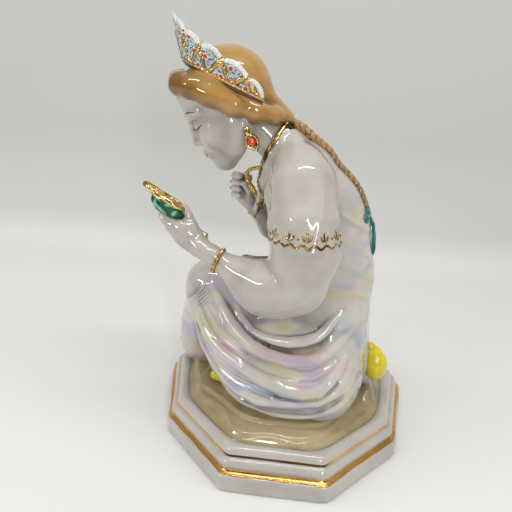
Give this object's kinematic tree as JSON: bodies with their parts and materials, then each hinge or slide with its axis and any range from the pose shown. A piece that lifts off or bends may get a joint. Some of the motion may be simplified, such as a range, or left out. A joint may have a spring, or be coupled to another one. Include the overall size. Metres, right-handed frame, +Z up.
{
  "type": "porcelain figurine",
  "caption": "Glazed porcelain figurine of a kneeling woman in a scalloped headdress who holds up a hand mirror and her beads, on a moulded octagonal plinth.",
  "frame": {"origin": "centre of the plinth's flat underside", "axes": "+Z up; -Y is the way the figure faces; +X is the figure's left"},
  "size_m": [0.11, 0.126, 0.1859],
  "materials": {
    "white_glaze": "white porcelain under a clear gloss glaze",
    "pearl_lustre": "white porcelain under a mother-of-pearl lustre glaze",
    "olive_glaze": "porcelain painted olive-beige under a gloss glaze",
    "hair_glaze": "porcelain painted light brown under a gloss glaze",
    "gold": "burnished liquid gold over the glaze",
    "green_enamel": "green overglaze enamel, glossy",
    "teal_enamel": "teal overglaze enamel, glossy",
    "red_enamel": "orange-red overglaze enamel, glossy",
    "yellow_glaze": "porcelain painted bright yellow under a gloss glaze"
  },
  "bodies": {
    "root": {"plinth": "white_glaze", "underside_slab": "white_glaze", "ground": "olive_glaze", "skirt": "pearl_lustre", "front_shoe": "yellow_glaze", "rear_shoe": "yellow_glaze", "bodice": "white_glaze", "left_sleeve": "white_glaze", "right_sleeve": "white_glaze", "head": "white_glaze", "hair": "hair_glaze", "headdress": "white_glaze", "braid": "hair_glaze", "ribbon": "teal_enamel", "mirror_frame": "gold", "mirror_glass": "gold", "mirror_back": "green_enamel", "left_hand": "white_glaze", "right_hand": "white_glaze", "collar": "gold", "bead_strand": "gold", "left_bracelet": "gold", "right_bracelet": "gold", "left_earring": "gold", "left_earring_stone": "red_enamel", "right_earring": "gold", "right_earring_stone": "red_enamel", "casket": "white_glaze", "casket_jewels": "gold"}
  },
  "joints": []
}
